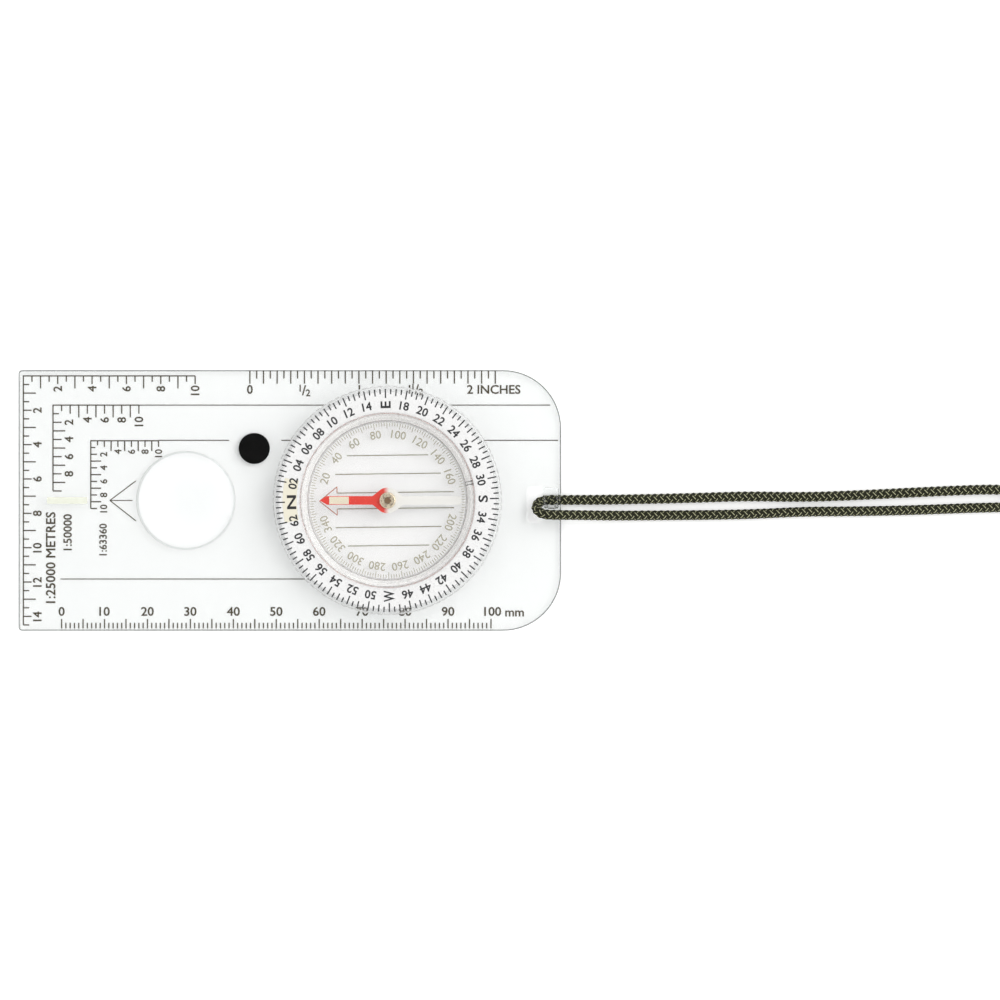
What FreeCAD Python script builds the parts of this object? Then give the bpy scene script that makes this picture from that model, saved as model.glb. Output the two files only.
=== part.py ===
import FreeCAD, Part
import math
import os

# A baseplate compass for map work, in millimetres.
# The origin is the centre of the plate's outline, on the plate's underside. The direction of travel
# is -X, the lanyard leaves at +X, +Y runs across the plate and +Z is up. Three groups move on one
# another: the plate with its fittings, the dial (bezel and capsule), and the needle in the capsule.

Vector = FreeCAD.Vector
UP = Vector(0, 0, 1)

# Plate
PLATE_LENGTH = 126.2
PLATE_WIDTH = 60.6
PLATE_THICKNESS = 3.0
FRONT_CORNER = 0.8  # nearly square corners at the map end
REAR_CORNER = 13.5  # round corners at the lanyard end
EDGE_ROUND = 0.35
PLATE_END = PLATE_LENGTH / 2

# Fittings in the plate
LENS_X = -24.2
LENS_RADIUS = 11.5
LENS_CROWN = 1.3  # height of the convex face over its rim
LENS_LEDGE_WIDTH = 0.6
LENS_LEDGE_HEIGHT = 0.5
LENS_RIM_TOP = 2.75
BOND_GAP = 0.03  # glue line round a bonded insert
PAD_PLACE = (-8.3, 12.1)
PAD_RADIUS = 3.6
PAD_THICKNESS = 1.5
PAD_FLANGE_RADIUS = 5.8
PAD_FLANGE_DEPTH = 0.3
STRIP_START = -56.5
STRIP_LENGTH = 9.4
STRIP_WIDTH = 1.6
INLAY_THICKNESS = 0.25

# Lanyard slot, and the raised bridge that one strand passes under
SLOT_X = (55.4, 58.75)
SLOT_Y = (-5.1, 3.1)
SLOT_CORNER = 1.0
SLOT_RIM_ROUND = 0.4
BRIDGE_X = (59.15, 62.5)
BRIDGE_Y = (-1.95, 3.1)
BRIDGE_TOP = 4.35
BRIDGE_ROUND = 0.5
CHANNEL_Y = (-1.6, 1.6)
CHANNEL_ROOF = 2.9

# Dial
DIAL_X = 22.8
BEZEL_RADIUS = 26.6
BEZEL_BOTTOM = 3.3
BEZEL_TOP = 9.0
BEZEL_SHOULDER = 0.6
BEZEL_BORE = 20.4
GRIP_GROOVES = 96
GRIP_GROOVE_RADIUS = 0.5
GRIP_GROOVE_DEPTH = 0.22
SKIRT_RADIUS = 21.3
SKIRT_BOTTOM = 0.35
SKIRT_LIP_RADIUS = 19.8
SKIRT_LIP_TOP = 0.75
RUNNING_FIT = 0.06  # radial clearance of the skirt in the plate
RETAINER_GROOVE = (0.9, 1.5)
RETAINER_GROOVE_RADIUS = 20.85
RETAINER_RADIUS = 22.4
RETAINER_THICKNESS = 0.5
RETAINER_GAP = 5.0
COUNTERBORE_RADIUS = 22.8
COUNTERBORE_TOP = 1.65
DRAG_GROOVE = (23.4, 24.8)
DRAG_GROOVE_TOP = 4.0
DRAG_RING_SIDE_PLAY = 0.1
DRAG_RING_BOTTOM = 3.05
PATCH_RADII = (21.0, 24.3)
PATCH_HALF_ANGLE = 12.5

# Capsule
CAPSULE_RADIUS = 20.34
CAPSULE_WALL_RADIUS = 18.6
CAPSULE_FLOOR_TOP = 2.1
SEAL_TOP = 2.6
CAPSULE_CEILING = 8.7
CAPSULE_TOP = 10.0
CAPSULE_EDGE_ROUND = 1.2
PIVOT_BOSS_RADIUS = 1.7
PIVOT_BOSS_TOP = 3.3
PLUG_RADIUS = 0.5
PLUG_HEIGHT = 5.6
PLUG_DIRECTION = 12.0

# Pivot and needle
PIVOT_RADIUS = 0.45
PIVOT_FOOT = 1.2
PIVOT_CONE_START = 4.3
PIVOT_TIP = 5.58
PIVOT_TIP_RADIUS = 0.03
BLADE_BOTTOM = 5.0
BLADE_THICKNESS = 0.3
BLADE_TOP = BLADE_BOTTOM + BLADE_THICKNESS
BLADE_WIDTH = 2.0
BLADE_NORTH = 15.8
BLADE_SOUTH = 17.2
BLADE_POINT = 1.7
BLADE_EYE_RADIUS = 3.0
BLADE_NECK = 3.5
NECK_INSET = 0.02
BAND_START = 13.55
BAND_END = 9.0
BAND_WIDTH = 1.7
BAND_THICKNESS = 0.1
HUB_RADIUS = 1.9
HUB_STEM_RADIUS = 1.2
HUB_BOTTOM = 4.7
HUB_TOP = 6.25
HUB_EDGE_ROUND = 0.3
HUB_HOLE_RADIUS = 0.5
JEWEL_RADIUS = 0.78
JEWEL_BOTTOM = BLADE_TOP + 0.05
JEWEL_TOP = 6.4
JEWEL_CUP_RADIUS = 0.45
JEWEL_CUP_APEX = 5.68
SMALL_FIT = 0.02  # clearance of small pieces that are pressed or bonded together

# Lanyard: one braided cord, tied end to end, that is drawn through the slot
CORD_DIAMETER = 2.5
CORD_REST = 1.3  # height of the cord's centre where it lies on the surface
ARC_SHARE = 0.45  # part of the shorter run that each arc takes up
TURN_SPACING = 2.6
COIL_CENTRE = (188.0, 16.1)
COIL_OUTER_TURN = 17.6
COIL_TURNS = 3.5
COIL_LAYERS = 2
KNOT_RADIUS = 4.9
KNOT_HEIGHT = 5.1
KNOT_ROUND = 1.8

# Over strand: from under the bridge, round the fold in the slot, over the plate's end and along
# the surface to the coil.
OVER_ROUTE = [
    (61.0, 0.1, 1.3),
    (58.92, 0.1, 1.3),
    (57.4, -0.9, 2.45),
    (57.4, -2.3, 4.08),
    (58.92, -3.3, 5.23),
    (63.0, -3.38, 5.15),
    (68.0, -3.42, 4.0),
    (75.0, -3.55, 1.9),
    (84.0, -3.5, 1.3),
    (98.0, -3.4, 1.3),
    (109.0, -3.15, 1.3),
    (119.5, -2.6, 1.3),
    (132.0, -2.55, 1.3),
    (146.0, -2.25, 1.3),
    (160.0, -1.7, 1.3),
    (172.0, -1.5, 1.3),
    (181.0, -1.55, 1.3),
]

# Under strand: out from under the bridge, along the surface, and up over the other strand on to
# the upper layer of the coil.
UNDER_ROUTE = [
    (61.0, 0.1, 1.3),
    (70.0, 0.1, 1.3),
    (82.0, 0.3, 1.3),
    (95.0, 0.6, 1.3),
    (106.5, 1.0, 1.3),
    (118.5, 0.75, 1.3),
    (130.0, 1.1, 1.3),
    (144.0, 1.8, 1.3),
    (157.0, 2.4, 1.3),
    (166.0, 2.6, 1.4),
    (173.0, 1.7, 2.4),
    (177.5, 0.5, 3.45),
    (180.5, -0.35, 3.85),
]

SHAPES = {}


def outline(x_range, y_range, left_radius, right_radius, height=0.0):
    """Closed wire of a rectangle whose left and right corners have their own radii."""
    x0, x1 = x_range
    y0, y1 = y_range
    corners = [
        (x0, y0, left_radius, 180),
        (x1, y0, right_radius, 270),
        (x1, y1, right_radius, 0),
        (x0, y1, left_radius, 90),
    ]
    arcs = []
    for x, y, radius, start in corners:
        centre_x = x + math.copysign(radius, -x + (x0 + x1) / 2)
        centre_y = y + math.copysign(radius, -y + (y0 + y1) / 2)
        centre = Vector(centre_x, centre_y, height)
        arcs.append(Part.makeCircle(radius, centre, UP, start, start + 90))
    edges = []
    for index, arc in enumerate(arcs):
        following = arcs[(index + 1) % len(arcs)]
        edges.append(arc)
        edges.append(Part.makeLine(arc.Vertexes[-1].Point, following.Vertexes[0].Point))
    return Part.Wire(edges)


def slab(wire, thickness):
    """Solid between a flat wire and the same wire raised by the thickness."""
    return Part.Face(wire).extrude(Vector(0, 0, thickness))


def disc(radius, bottom, top, centre=(0.0, 0.0)):
    """Upright cylinder between two heights."""
    return Part.makeCylinder(radius, top - bottom, Vector(centre[0], centre[1], bottom))


def washer(inner, outer, bottom, top):
    """Flat ring about the Z axis."""
    return disc(outer, bottom, top).cut(disc(inner, bottom, top))


def turned(points):
    """Solid of revolution about Z from a profile of (radius, height) points."""
    corners = [Vector(radius, 0, height) for radius, height in points]
    face = Part.Face(Part.makePolygon(corners + corners[:1]))
    return face.revolve(Vector(0, 0, 0), UP, 360)


def sector(radii, half_angle, bottom, top, play=0.0):
    """Arc-shaped plate centred on the -X direction, made smaller all round by the play."""
    inner, outer = radii
    inner += play
    outer -= play
    angle = half_angle - math.degrees(play / inner)
    base = Vector(0, 0, bottom)
    wedge = Part.makeCylinder(outer, top - bottom, base, UP, 2 * angle)
    wedge.rotate(Vector(0, 0, 0), UP, 180 - angle)
    return wedge.cut(disc(inner, bottom, top))


def edges_at(shape, height, inside=None):
    """Edges that lie flat at a height, and within the (x0, x1, y0, y1) window if one is given."""
    found = []
    for edge in shape.Edges:
        box = edge.BoundBox
        if abs(box.ZMin - height) > 1e-6 or abs(box.ZMax - height) > 1e-6:
            continue
        if inside is not None:
            x0, x1, y0, y1 = inside
            if box.XMin < x0 or box.XMax > x1 or box.YMin < y0 or box.YMax > y1:
                continue
        found.append(edge)
    return found


def on_dial(shape):
    """Moves a shape that was made about the Z axis to the dial's axis."""
    shape.translate(Vector(DIAL_X, 0, 0))
    return shape


def plate_blank():
    """Clear sheet with its outline, eased along its upper and lower edges."""
    half_width = PLATE_WIDTH / 2
    wire = outline((-PLATE_END, PLATE_END), (-half_width, half_width), FRONT_CORNER, REAR_CORNER)
    blank = slab(wire, PLATE_THICKNESS)
    rims = edges_at(blank, 0.0) + edges_at(blank, PLATE_THICKNESS)
    return blank.makeFillet(EDGE_ROUND, rims)


def with_slot(plate):
    """Cuts the lanyard slot and rounds its rims, so that they don't chafe the cord."""
    wire = outline(SLOT_X, SLOT_Y, SLOT_CORNER, SLOT_CORNER)
    plate = plate.cut(slab(wire, PLATE_THICKNESS))
    margin = 0.1
    window = (SLOT_X[0] - margin, SLOT_X[1] + margin, SLOT_Y[0] - margin, SLOT_Y[1] + margin)
    rims = edges_at(plate, 0.0, window) + edges_at(plate, PLATE_THICKNESS, window)
    return plate.makeFillet(SLOT_RIM_ROUND, rims)


def with_bridge(plate):
    """Adds the raised bridge at the plate's end, and the channel below it for one strand."""
    wire = outline(BRIDGE_X, BRIDGE_Y, BRIDGE_ROUND, BRIDGE_ROUND, PLATE_THICKNESS / 2)
    block = slab(wire, BRIDGE_TOP - PLATE_THICKNESS / 2)
    block = block.makeFillet(BRIDGE_ROUND * 0.9, edges_at(block, BRIDGE_TOP))
    plate = plate.fuse(block).removeSplitter()
    width = CHANNEL_Y[1] - CHANNEL_Y[0]
    start = Vector(SLOT_X[1] - 1.0, CHANNEL_Y[0], 0)
    channel = Part.makeBox(PLATE_END - SLOT_X[1] + 2.0, width, CHANNEL_ROOF, start)
    return plate.cut(channel)


def make_baseplate():
    plate = with_bridge(with_slot(plate_blank()))
    dial_centre = (DIAL_X, 0.0)
    lens_centre = (LENS_X, 0.0)
    plate = plate.cut(disc(SKIRT_RADIUS + RUNNING_FIT, 0, PLATE_THICKNESS, dial_centre))
    plate = plate.cut(disc(COUNTERBORE_RADIUS, 0, COUNTERBORE_TOP, dial_centre))
    ledge_radius = LENS_RADIUS - LENS_LEDGE_WIDTH
    plate = plate.cut(disc(ledge_radius, 0, PLATE_THICKNESS, lens_centre))
    seat_radius = LENS_RADIUS + BOND_GAP
    plate = plate.cut(disc(seat_radius, LENS_LEDGE_HEIGHT, PLATE_THICKNESS, lens_centre))
    plate = plate.cut(disc(PAD_RADIUS + BOND_GAP, 0, PAD_THICKNESS + BOND_GAP, PAD_PLACE))
    plate = plate.cut(disc(PAD_FLANGE_RADIUS, 0, PAD_FLANGE_DEPTH, PAD_PLACE))
    groove = strip_block(BOND_GAP, PLATE_THICKNESS - INLAY_THICKNESS - BOND_GAP)
    return plate.cut(groove)


def strip_block(margin, bottom):
    """Round-cornered bar of the luminous strip, widened by the margin, up to the plate's face."""
    x_range = (STRIP_START - margin, STRIP_START + STRIP_LENGTH + margin)
    y_range = (-STRIP_WIDTH / 2 - margin, STRIP_WIDTH / 2 + margin)
    corner = 0.3 + margin
    wire = outline(x_range, y_range, corner, corner, bottom)
    return slab(wire, PLATE_THICKNESS - bottom)


def make_travel_strip():
    return strip_block(0.0, PLATE_THICKNESS - INLAY_THICKNESS)


def make_magnifier_lens():
    """Plano-convex lens: a rim bonded to the plate's ledge and a shallow spherical face."""
    bottom = LENS_LEDGE_HEIGHT + BOND_GAP
    rim = disc(LENS_RADIUS, bottom, LENS_RIM_TOP)
    curve_radius = (LENS_RADIUS ** 2 + LENS_CROWN ** 2) / (2 * LENS_CROWN)
    centre = Vector(0, 0, LENS_RIM_TOP + LENS_CROWN - curve_radius)
    ball = Part.makeSphere(curve_radius, centre)
    cap = ball.common(disc(LENS_RADIUS, LENS_RIM_TOP, LENS_RIM_TOP + LENS_CROWN + 1))
    lens = rim.fuse(cap).removeSplitter()
    lens.translate(Vector(LENS_X, 0, 0))
    return lens


def make_non_slip_pad():
    return disc(PAD_RADIUS, 0, PAD_THICKNESS, PAD_PLACE)


def bezel_profile():
    """Section of the bezel ring: skirt with lip and retainer groove, drag groove, outer wall."""
    groove_bottom, groove_top = RETAINER_GROOVE
    chamfer = 0.4
    points = [
        (SKIRT_LIP_RADIUS, SKIRT_BOTTOM),
        (SKIRT_RADIUS, SKIRT_BOTTOM),
        (SKIRT_RADIUS, groove_bottom),
        (RETAINER_GROOVE_RADIUS, groove_bottom),
        (RETAINER_GROOVE_RADIUS, groove_top),
        (SKIRT_RADIUS, groove_top),
        (SKIRT_RADIUS, BEZEL_BOTTOM),
        (DRAG_GROOVE[0], BEZEL_BOTTOM),
        (DRAG_GROOVE[0], DRAG_GROOVE_TOP),
        (DRAG_GROOVE[1], DRAG_GROOVE_TOP),
        (DRAG_GROOVE[1], BEZEL_BOTTOM),
        (BEZEL_RADIUS - chamfer, BEZEL_BOTTOM),
        (BEZEL_RADIUS, BEZEL_BOTTOM + chamfer),
        (BEZEL_RADIUS, BEZEL_TOP),
        (BEZEL_BORE, BEZEL_TOP),
        (BEZEL_BORE, SKIRT_LIP_TOP),
        (SKIRT_LIP_RADIUS, SKIRT_LIP_TOP),
    ]
    return points


def make_bezel_ring():
    ring = turned(bezel_profile())
    shoulder = [e for e in edges_at(ring, BEZEL_TOP) if e.BoundBox.XMax > BEZEL_RADIUS - 0.1]
    ring = ring.makeFillet(BEZEL_SHOULDER, shoulder)
    reach = BEZEL_RADIUS + GRIP_GROOVE_RADIUS - GRIP_GROOVE_DEPTH
    cutters = []
    for index in range(GRIP_GROOVES):
        angle = 2 * math.pi * (index + 0.5) / GRIP_GROOVES
        place = (reach * math.cos(angle), reach * math.sin(angle))
        cutters.append(disc(GRIP_GROOVE_RADIUS, BEZEL_BOTTOM - 1, BEZEL_TOP + 1, place))
    ring = ring.cut(Part.makeCompound(cutters))
    recess_bottom = BEZEL_TOP - INLAY_THICKNESS - SMALL_FIT
    return on_dial(ring.cut(sector(PATCH_RADII, PATCH_HALF_ANGLE, recess_bottom, BEZEL_TOP + 1)))


def make_north_luminous_patch():
    bottom = BEZEL_TOP - INLAY_THICKNESS
    return on_dial(sector(PATCH_RADII, PATCH_HALF_ANGLE, bottom, BEZEL_TOP, SMALL_FIT))


def make_retaining_ring():
    """Split spring ring in the skirt's groove, which keeps the dial in the plate."""
    middle = sum(RETAINER_GROOVE) / 2
    bottom = middle - RETAINER_THICKNESS / 2
    top = middle + RETAINER_THICKNESS / 2
    ring = washer(RETAINER_GROOVE_RADIUS + SMALL_FIT, RETAINER_RADIUS, bottom, top)
    corner = Vector(0, -RETAINER_GAP / 2, bottom - 1)
    return on_dial(ring.cut(Part.makeBox(2 * RETAINER_RADIUS, RETAINER_GAP, 3, corner)))


def make_drag_ring():
    """Soft ring that rubs on the plate and keeps the bezel where it is set."""
    inner = DRAG_GROOVE[0] + DRAG_RING_SIDE_PLAY
    outer = DRAG_GROOVE[1] - DRAG_RING_SIDE_PLAY
    ring = washer(inner, outer, DRAG_RING_BOTTOM, DRAG_GROOVE_TOP - SMALL_FIT)
    return on_dial(ring)


def make_capsule_base():
    base = disc(CAPSULE_RADIUS, SKIRT_LIP_TOP, CAPSULE_FLOOR_TOP)
    base = base.fuse(disc(PIVOT_BOSS_RADIUS, SKIRT_LIP_TOP, PIVOT_BOSS_TOP)).removeSplitter()
    return on_dial(base.cut(disc(PIVOT_RADIUS + SMALL_FIT, PIVOT_FOOT - SMALL_FIT, PIVOT_BOSS_TOP)))


def make_capsule_seal_ring():
    return on_dial(washer(CAPSULE_WALL_RADIUS, CAPSULE_RADIUS - 0.1, CAPSULE_FLOOR_TOP, SEAL_TOP))


def plug_bar(radius):
    """Horizontal bar through the capsule's wall, along the filler hole."""
    angle = math.radians(PLUG_DIRECTION)
    outward = Vector(math.cos(angle), math.sin(angle), 0)
    start = outward * (CAPSULE_WALL_RADIUS - 1)
    start.z = PLUG_HEIGHT
    return Part.makeCylinder(radius, 3.0, start, outward)


def make_capsule_dome():
    """Clear cup, open below, with a rounded upper edge and a filler hole in its wall."""
    cup = disc(CAPSULE_RADIUS, SEAL_TOP, CAPSULE_TOP)
    cup = cup.makeFillet(CAPSULE_EDGE_ROUND, edges_at(cup, CAPSULE_TOP))
    hollow = disc(CAPSULE_WALL_RADIUS, SEAL_TOP, CAPSULE_CEILING)
    hollow = hollow.makeFillet(CAPSULE_EDGE_ROUND / 2, edges_at(hollow, CAPSULE_CEILING))
    return on_dial(cup.cut(hollow).cut(plug_bar(PLUG_RADIUS)))


def make_filler_plug():
    wall = washer(CAPSULE_WALL_RADIUS, CAPSULE_RADIUS, SEAL_TOP, CAPSULE_CEILING)
    return on_dial(plug_bar(PLUG_RADIUS - SMALL_FIT).common(wall))


def make_pivot_pin():
    shank = disc(PIVOT_RADIUS, PIVOT_FOOT, PIVOT_CONE_START)
    base = Vector(0, 0, PIVOT_CONE_START)
    height = PIVOT_TIP - PIVOT_CONE_START
    cone = Part.makeCone(PIVOT_RADIUS, PIVOT_TIP_RADIUS, height, base)
    return on_dial(shank.fuse(cone))


def slab_of(corners):
    """Flat piece of the blade's thickness inside a ring of corners."""
    points = [Vector(x, y, BLADE_BOTTOM) for x, y in corners]
    return slab(Part.makePolygon(points + points[:1]), BLADE_THICKNESS)


def make_blade_necks():
    """Sloping flanks that widen the strip on each side into the round eye."""
    half = BLADE_WIDTH / 2
    reach = math.hypot(BLADE_NECK, half)
    angle = math.atan2(half, BLADE_NECK) + math.acos(BLADE_EYE_RADIUS / reach)
    radius = BLADE_EYE_RADIUS - NECK_INSET
    x = radius * math.cos(angle)
    y = radius * math.sin(angle)
    upper = [(BLADE_NECK, half), (x, y), (-x, y), (-BLADE_NECK, half)]
    lower = [(-BLADE_NECK, -half), (-x, -y), (x, -y), (BLADE_NECK, -half)]
    return slab_of(upper + lower)


def make_needle_blade():
    """Magnetised steel strip: a point at the north end, a round eye and a blunt south end."""
    half = BLADE_WIDTH / 2
    blunt = BLADE_WIDTH / 4
    corners = [
        (-BLADE_NORTH, 0.0),
        (-BLADE_NORTH + BLADE_POINT, -half),
        (BLADE_SOUTH - blunt, -half),
        (BLADE_SOUTH, -blunt),
        (BLADE_SOUTH, blunt),
        (BLADE_SOUTH - blunt, half),
        (-BLADE_NORTH + BLADE_POINT, half),
    ]
    blade = slab_of(corners).fuse(make_blade_necks())
    blade = blade.fuse(disc(BLADE_EYE_RADIUS, BLADE_BOTTOM, BLADE_TOP)).removeSplitter()
    return on_dial(blade.cut(disc(HUB_STEM_RADIUS + SMALL_FIT, BLADE_BOTTOM, BLADE_TOP)))


def make_needle_luminous_band():
    length = BAND_START - BAND_END
    corner = Vector(-BAND_START, -BAND_WIDTH / 2, BLADE_TOP)
    return on_dial(Part.makeBox(length, BAND_WIDTH, BAND_THICKNESS, corner))


def make_needle_hub():
    """Brass cap over the blade's eye, with a stem through it and a seat for the jewel."""
    cap = disc(HUB_RADIUS, BLADE_TOP, HUB_TOP)
    cap = cap.makeFillet(HUB_EDGE_ROUND, edges_at(cap, HUB_TOP))
    hub = cap.fuse(disc(HUB_STEM_RADIUS, HUB_BOTTOM, HUB_TOP)).removeSplitter()
    hub = hub.cut(disc(JEWEL_RADIUS + SMALL_FIT, JEWEL_BOTTOM - SMALL_FIT, HUB_TOP))
    return on_dial(hub.cut(disc(HUB_HOLE_RADIUS, HUB_BOTTOM, HUB_TOP)))


def make_jewel_bearing():
    """Hard cup that the pivot's point carries."""
    jewel = disc(JEWEL_RADIUS, JEWEL_BOTTOM, JEWEL_TOP)
    jewel = jewel.makeFillet(0.2, edges_at(jewel, JEWEL_TOP))
    height = JEWEL_CUP_APEX - JEWEL_BOTTOM
    cup = Part.makeCone(JEWEL_CUP_RADIUS, 0, height, Vector(0, 0, JEWEL_BOTTOM))
    return on_dial(jewel.cut(cup))


def cord_path(route):
    """Straight runs joined by tangent arcs, with the radius of each arc."""
    points = [Vector(*place) for place in route]
    edges = []
    radii = []
    start = points[0]
    for before, corner, after in zip(points, points[1:], points[2:]):
        arriving = corner - before
        leaving = after - corner
        trim = ARC_SHARE * min(arriving.Length, leaving.Length)
        half_turn = arriving.getAngle(leaving) / 2
        arriving.normalize()
        leaving.normalize()
        radius = trim / math.tan(half_turn)
        first = corner - arriving * trim
        last = corner + leaving * trim
        inward = leaving - arriving
        inward.normalize()
        sagitta = radius / math.cos(half_turn) - radius
        edges.append(Part.LineSegment(start, first).toShape())
        edges.append(Part.Arc(first, corner + inward * sagitta, last).toShape())
        radii.append(radius)
        start = last
    edges.append(Part.LineSegment(start, points[-1]).toShape())
    return Part.Wire(edges), radii


def cord_tube(name, route):
    """Round tube along a route; prints its radii and compares its volume with section by length."""
    path, radii = cord_path(route)
    direction = Vector(*route[1]) - Vector(*route[0])
    section = Part.Wire(Part.makeCircle(CORD_DIAMETER / 2, Vector(*route[0]), direction))
    tube = path.makePipeShell([section], True, False)
    expected = math.pi * CORD_DIAMETER ** 2 / 4 * path.Length
    print(name, "length", round(path.Length, 1), "radii", [round(radius, 2) for radius in radii])
    print(name, "volume", round(tube.Volume, 2), "section by length", round(expected, 2))
    return tube


def make_lanyard_coil():
    """Outer shape of the put-away length: two layers of turns with an open middle."""
    outer = COIL_OUTER_TURN + CORD_DIAMETER / 2
    inner = COIL_OUTER_TURN - COIL_TURNS * TURN_SPACING - CORD_DIAMETER / 2
    height = CORD_REST + (COIL_LAYERS - 1) * TURN_SPACING + CORD_DIAMETER / 2
    ring = washer(inner, outer, 0, height)
    rims = edges_at(ring, height)
    ring = ring.makeFillet(CORD_DIAMETER / 2, rims)
    ring.translate(Vector(COIL_CENTRE[0], COIL_CENTRE[1], 0))
    return ring


def make_lanyard_knot():
    """Outer shape of the knot that ties the cord's two ends together."""
    knot = disc(KNOT_RADIUS, 0, KNOT_HEIGHT, COIL_CENTRE)
    rims = edges_at(knot, 0) + edges_at(knot, KNOT_HEIGHT)
    return knot.makeFillet(KNOT_ROUND, rims)


def build():
    SHAPES["baseplate"] = make_baseplate()
    SHAPES["magnifier_lens"] = make_magnifier_lens()
    SHAPES["non_slip_pad"] = make_non_slip_pad()
    SHAPES["travel_strip"] = make_travel_strip()
    SHAPES["bezel_ring"] = make_bezel_ring()
    SHAPES["north_luminous_patch"] = make_north_luminous_patch()
    SHAPES["retaining_ring"] = make_retaining_ring()
    SHAPES["drag_ring"] = make_drag_ring()
    SHAPES["capsule_base"] = make_capsule_base()
    SHAPES["capsule_seal_ring"] = make_capsule_seal_ring()
    SHAPES["capsule_dome"] = make_capsule_dome()
    SHAPES["filler_plug"] = make_filler_plug()
    SHAPES["pivot_pin"] = make_pivot_pin()
    SHAPES["needle_blade"] = make_needle_blade()
    SHAPES["needle_luminous_band"] = make_needle_luminous_band()
    SHAPES["needle_hub"] = make_needle_hub()
    SHAPES["jewel_bearing"] = make_jewel_bearing()
    SHAPES["lanyard_over_strand"] = cord_tube("lanyard_over_strand", OVER_ROUTE)
    SHAPES["lanyard_under_strand"] = cord_tube("lanyard_under_strand", UNDER_ROUTE)
    SHAPES["lanyard_coil"] = make_lanyard_coil()
    SHAPES["lanyard_knot"] = make_lanyard_knot()


def export():
    os.makedirs("parts", exist_ok=True)
    for name, shape in SHAPES.items():
        if not shape.isValid() or len(shape.Solids) != 1:
            raise ValueError(name + " is not one valid solid")
        shape.exportStep("parts/" + name + ".step")


build()
export()
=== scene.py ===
"""Looks for the baseplate compass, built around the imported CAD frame.

Sizes are in millimetres, in the row frame, and become metres where they reach Blender.
The plate lies on the floor in the XY plane, with north on the dial towards -X at rest.
"""

import math

import bpy
import numpy as np
from mathutils import Matrix, Vector


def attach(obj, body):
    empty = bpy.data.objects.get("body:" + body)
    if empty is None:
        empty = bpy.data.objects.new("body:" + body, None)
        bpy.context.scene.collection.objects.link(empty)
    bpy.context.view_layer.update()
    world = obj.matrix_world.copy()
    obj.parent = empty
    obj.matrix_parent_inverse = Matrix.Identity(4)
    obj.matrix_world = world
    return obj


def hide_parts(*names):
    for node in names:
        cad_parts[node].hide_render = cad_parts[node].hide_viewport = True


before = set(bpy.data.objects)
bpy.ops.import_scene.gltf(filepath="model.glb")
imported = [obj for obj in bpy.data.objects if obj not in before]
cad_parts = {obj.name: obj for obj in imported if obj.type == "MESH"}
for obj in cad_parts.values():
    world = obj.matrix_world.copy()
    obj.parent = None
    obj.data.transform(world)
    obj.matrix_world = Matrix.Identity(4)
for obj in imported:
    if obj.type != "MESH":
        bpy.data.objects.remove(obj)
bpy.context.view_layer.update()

MM = 0.001
TURN = 2 * math.pi
scene = bpy.context.scene
scene.view_settings.view_transform = "Standard"

# Where the CAD puts things.
PLATE_TOP = 3.0
PLATE_UNDERSIDE = 0.0
PLATE_END = 63.1
PLATE_SIDE = 30.3
CORNER = 13.5
BEZEL_TOP = 9.0
CAPSULE_FLOOR = 2.1
AXIS_X = 22.8


def link(name, data):
    thing = bpy.data.objects.new(name, data)
    scene.collection.objects.link(thing)
    return thing


# ---------------------------------------------------------------- camera

VIEW_CENTRE = (48.9, 0.1)
VIEW_WIDTH = 232.6
CAMERA_HEIGHT = 1600.0
SENSOR = 36.0
# The nearest and furthest distance that the camera sees, in metres.
CLIP_NEAR = 0.02
CLIP_FAR = 20


def make_camera():
    """Looks straight down from far away, as with a long lens."""
    data = bpy.data.cameras.new("camera")
    data.sensor_width = SENSOR
    data.lens = SENSOR * (CAMERA_HEIGHT - PLATE_TOP) / VIEW_WIDTH
    data.clip_start = CLIP_NEAR
    data.clip_end = CLIP_FAR
    camera = link("camera", data)
    camera.location = Vector((*VIEW_CENTRE, CAMERA_HEIGHT)) * MM
    scene.camera = camera


make_camera()

# ---------------------------------------------------------------- lanyard

# Control points of the two strands, which leave the slot through one hole.
EXIT = (61.0, 0.1, 1.3)
OVER_ROUTE = [
    EXIT, (58.92, 0.1, 1.3), (57.4, -0.9, 2.45), (57.4, -2.3, 4.08), (58.92, -3.3, 5.23),
    (63.0, -3.38, 5.15), (68.0, -3.42, 4.0), (75.0, -3.55, 1.9), (84.0, -3.5, 1.3),
    (98.0, -3.4, 1.3), (109.0, -3.15, 1.3), (119.5, -2.6, 1.3), (132.0, -2.55, 1.3),
    (146.0, -2.25, 1.3), (160.0, -1.7, 1.3), (172.0, -1.5, 1.3), (181.0, -1.55, 1.3),
]
UNDER_ROUTE = [
    EXIT, (70.0, 0.1, 1.3), (82.0, 0.3, 1.3), (95.0, 0.6, 1.3), (106.5, 1.0, 1.3),
    (118.5, 0.75, 1.3), (130.0, 1.1, 1.3), (144.0, 1.8, 1.3), (157.0, 2.4, 1.3),
    (166.0, 2.6, 1.4), (173.0, 1.7, 2.4), (177.5, 0.5, 3.45), (180.5, -0.35, 3.85),
]
# Each strand ends inside the coil, where it goes into the knot.
OVER_END = [(184.9, 24.6, 1.3), (181.8, 21.4, 1.3), (181.8, 17.1, 1.3), (184.9, 14.0, 1.3),
            (188.2, 14.0, 1.3)]
UNDER_END = [(184.9, 24.6, 3.9), (181.8, 21.4, 3.9), (181.8, 17.1, 3.9), (184.9, 14.0, 3.9),
             (188.2, 14.2, 3.7)]
# The rest of each strand is put away in a flat coil of two layers.
COIL_CENTRE = (188.0, 16.1)
COIL_RADIUS = 17.6
COIL_SPACING = 2.6
COIL_TURNS = 3.5
POINTS_PER_TURN = 14
LOWER_LAYER = 1.3
UPPER_LAYER = 3.9

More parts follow.
